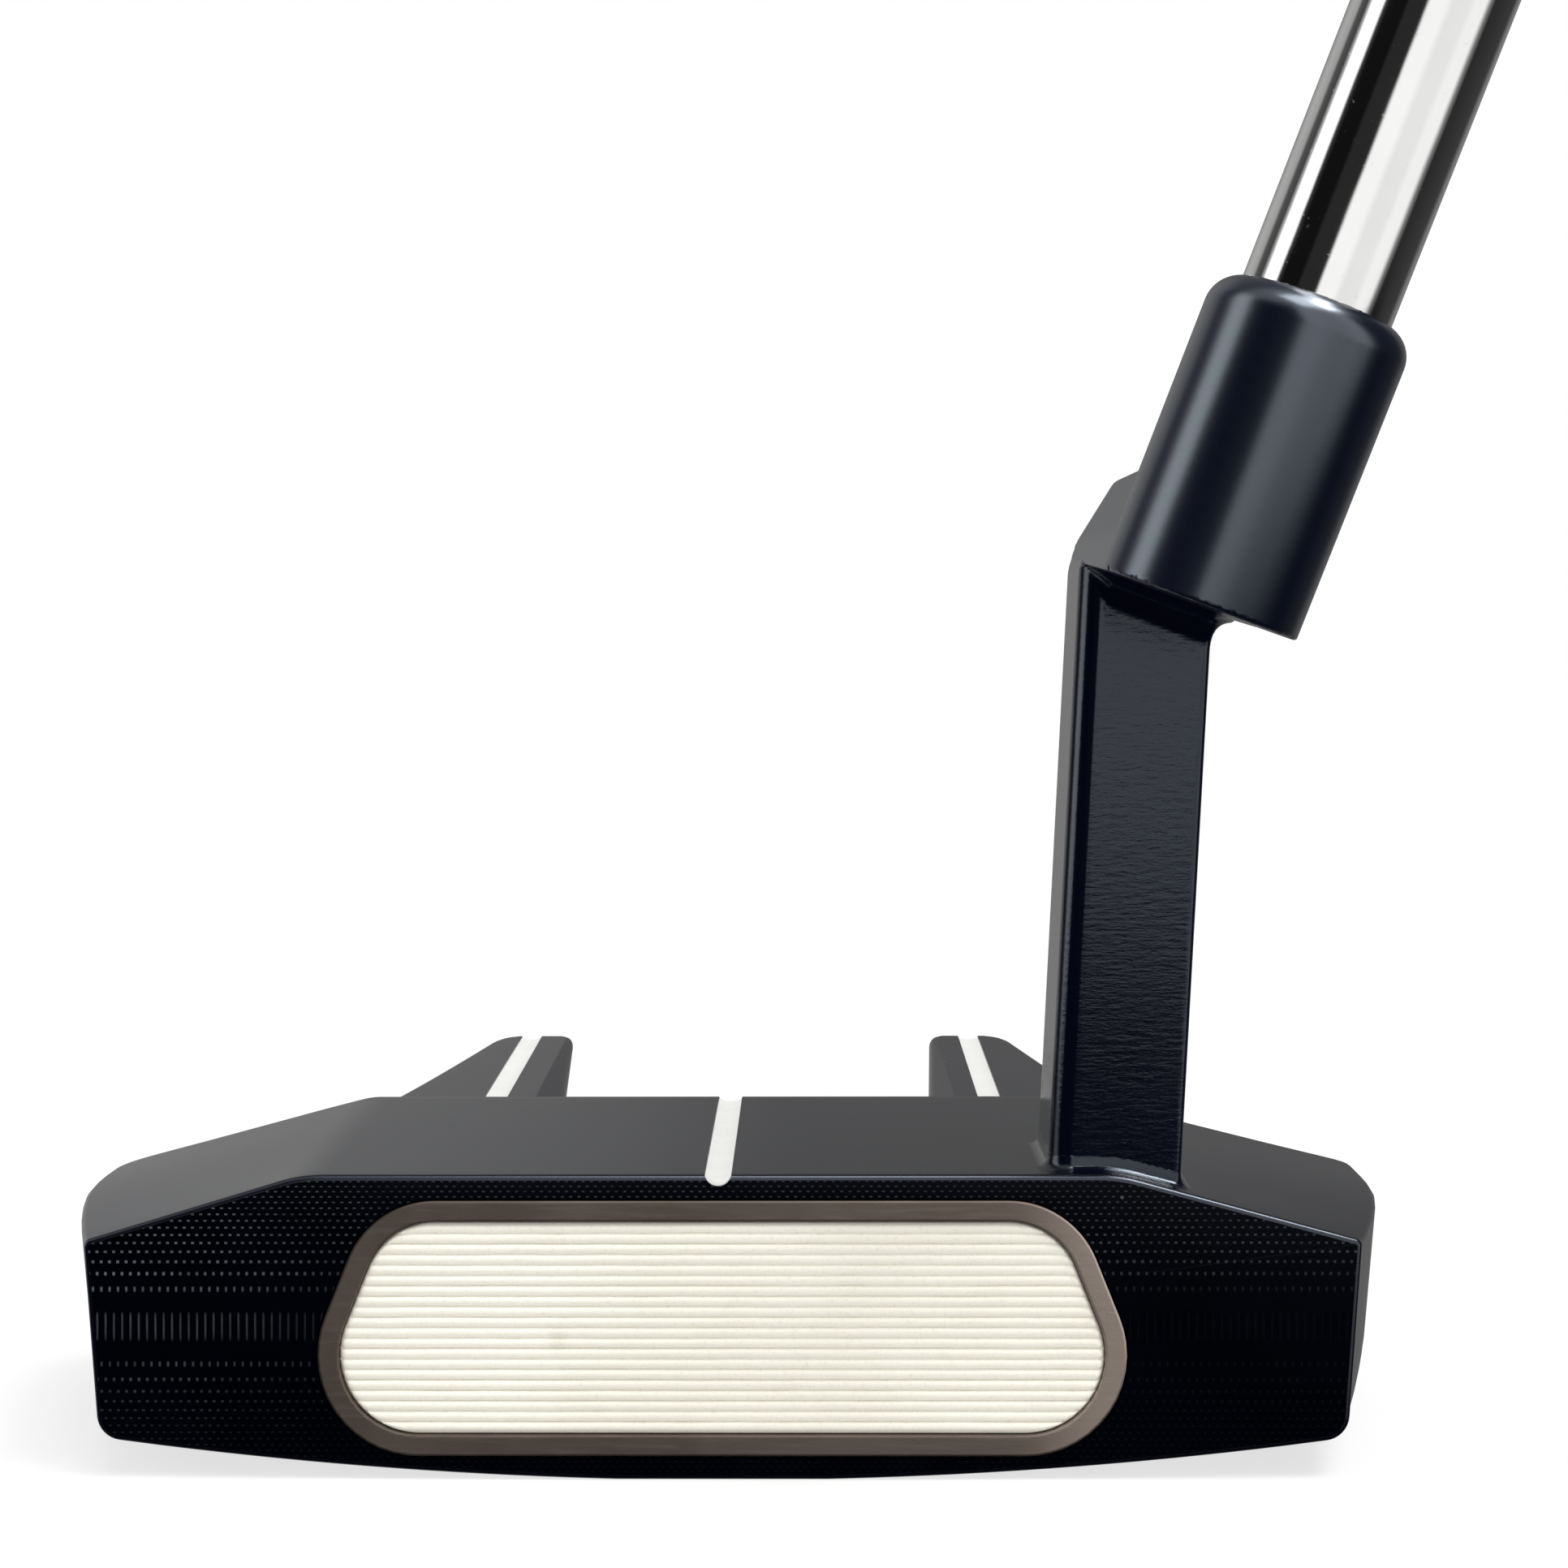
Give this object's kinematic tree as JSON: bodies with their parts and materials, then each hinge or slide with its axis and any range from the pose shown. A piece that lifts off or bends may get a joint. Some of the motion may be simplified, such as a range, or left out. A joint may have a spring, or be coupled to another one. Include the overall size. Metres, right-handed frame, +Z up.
{
  "type": "mallet putter",
  "caption": "Right-handed fang mallet putter: black milled head with a ribbed face insert in a metal rim, sight lines, crank neck with angled barrel, chrome shaft and pistol grip.",
  "frame": {"origin": "middle of the small flat at the lowest place of the sole", "axes": "+Z up as the club is soled at address, +X from toe to heel along the face (the shaft leans toward +X), -Y is the way the strike face looks"},
  "size_m": [0.3813, 0.1454, 0.8108],
  "materials": {
    "head_black": "black vapour-deposited coating over fly-milled steel, satin",
    "neck_black": "black vapour-deposited coating over blasted steel, satin",
    "rim_taupe": "bronze-grey anodised, satin",
    "pad_cream": "matt ribbed polymer",
    "bond_tape": "double-sided tape",
    "sight_enamel": "white enamel, satin",
    "weight_steel": "turned stainless steel",
    "washer_nylon": "natural nylon",
    "shaft_chrome": "polished chrome plate",
    "plug_cork": "cork",
    "grip_rubber": "moulded rubber, matt"
  },
  "bodies": {
    "root": {"head_body": "head_black", "insert_rim_tray": "rim_taupe", "insert_pad": "pad_cream", "insert_tape": "bond_tape", "center_sight_line": "sight_enamel", "toe_fang_line": "sight_enamel", "heel_fang_line": "sight_enamel", "toe_sole_weight": "weight_steel", "heel_sole_weight": "weight_steel", "toe_weight_washer": "washer_nylon", "heel_weight_washer": "washer_nylon", "crank_neck": "neck_black", "neck_weld_fillet": "neck_black", "shaft": "shaft_chrome", "shaft_tip_plug": "plug_cork", "grip_tape": "bond_tape", "grip": "grip_rubber"}
  },
  "joints": []
}
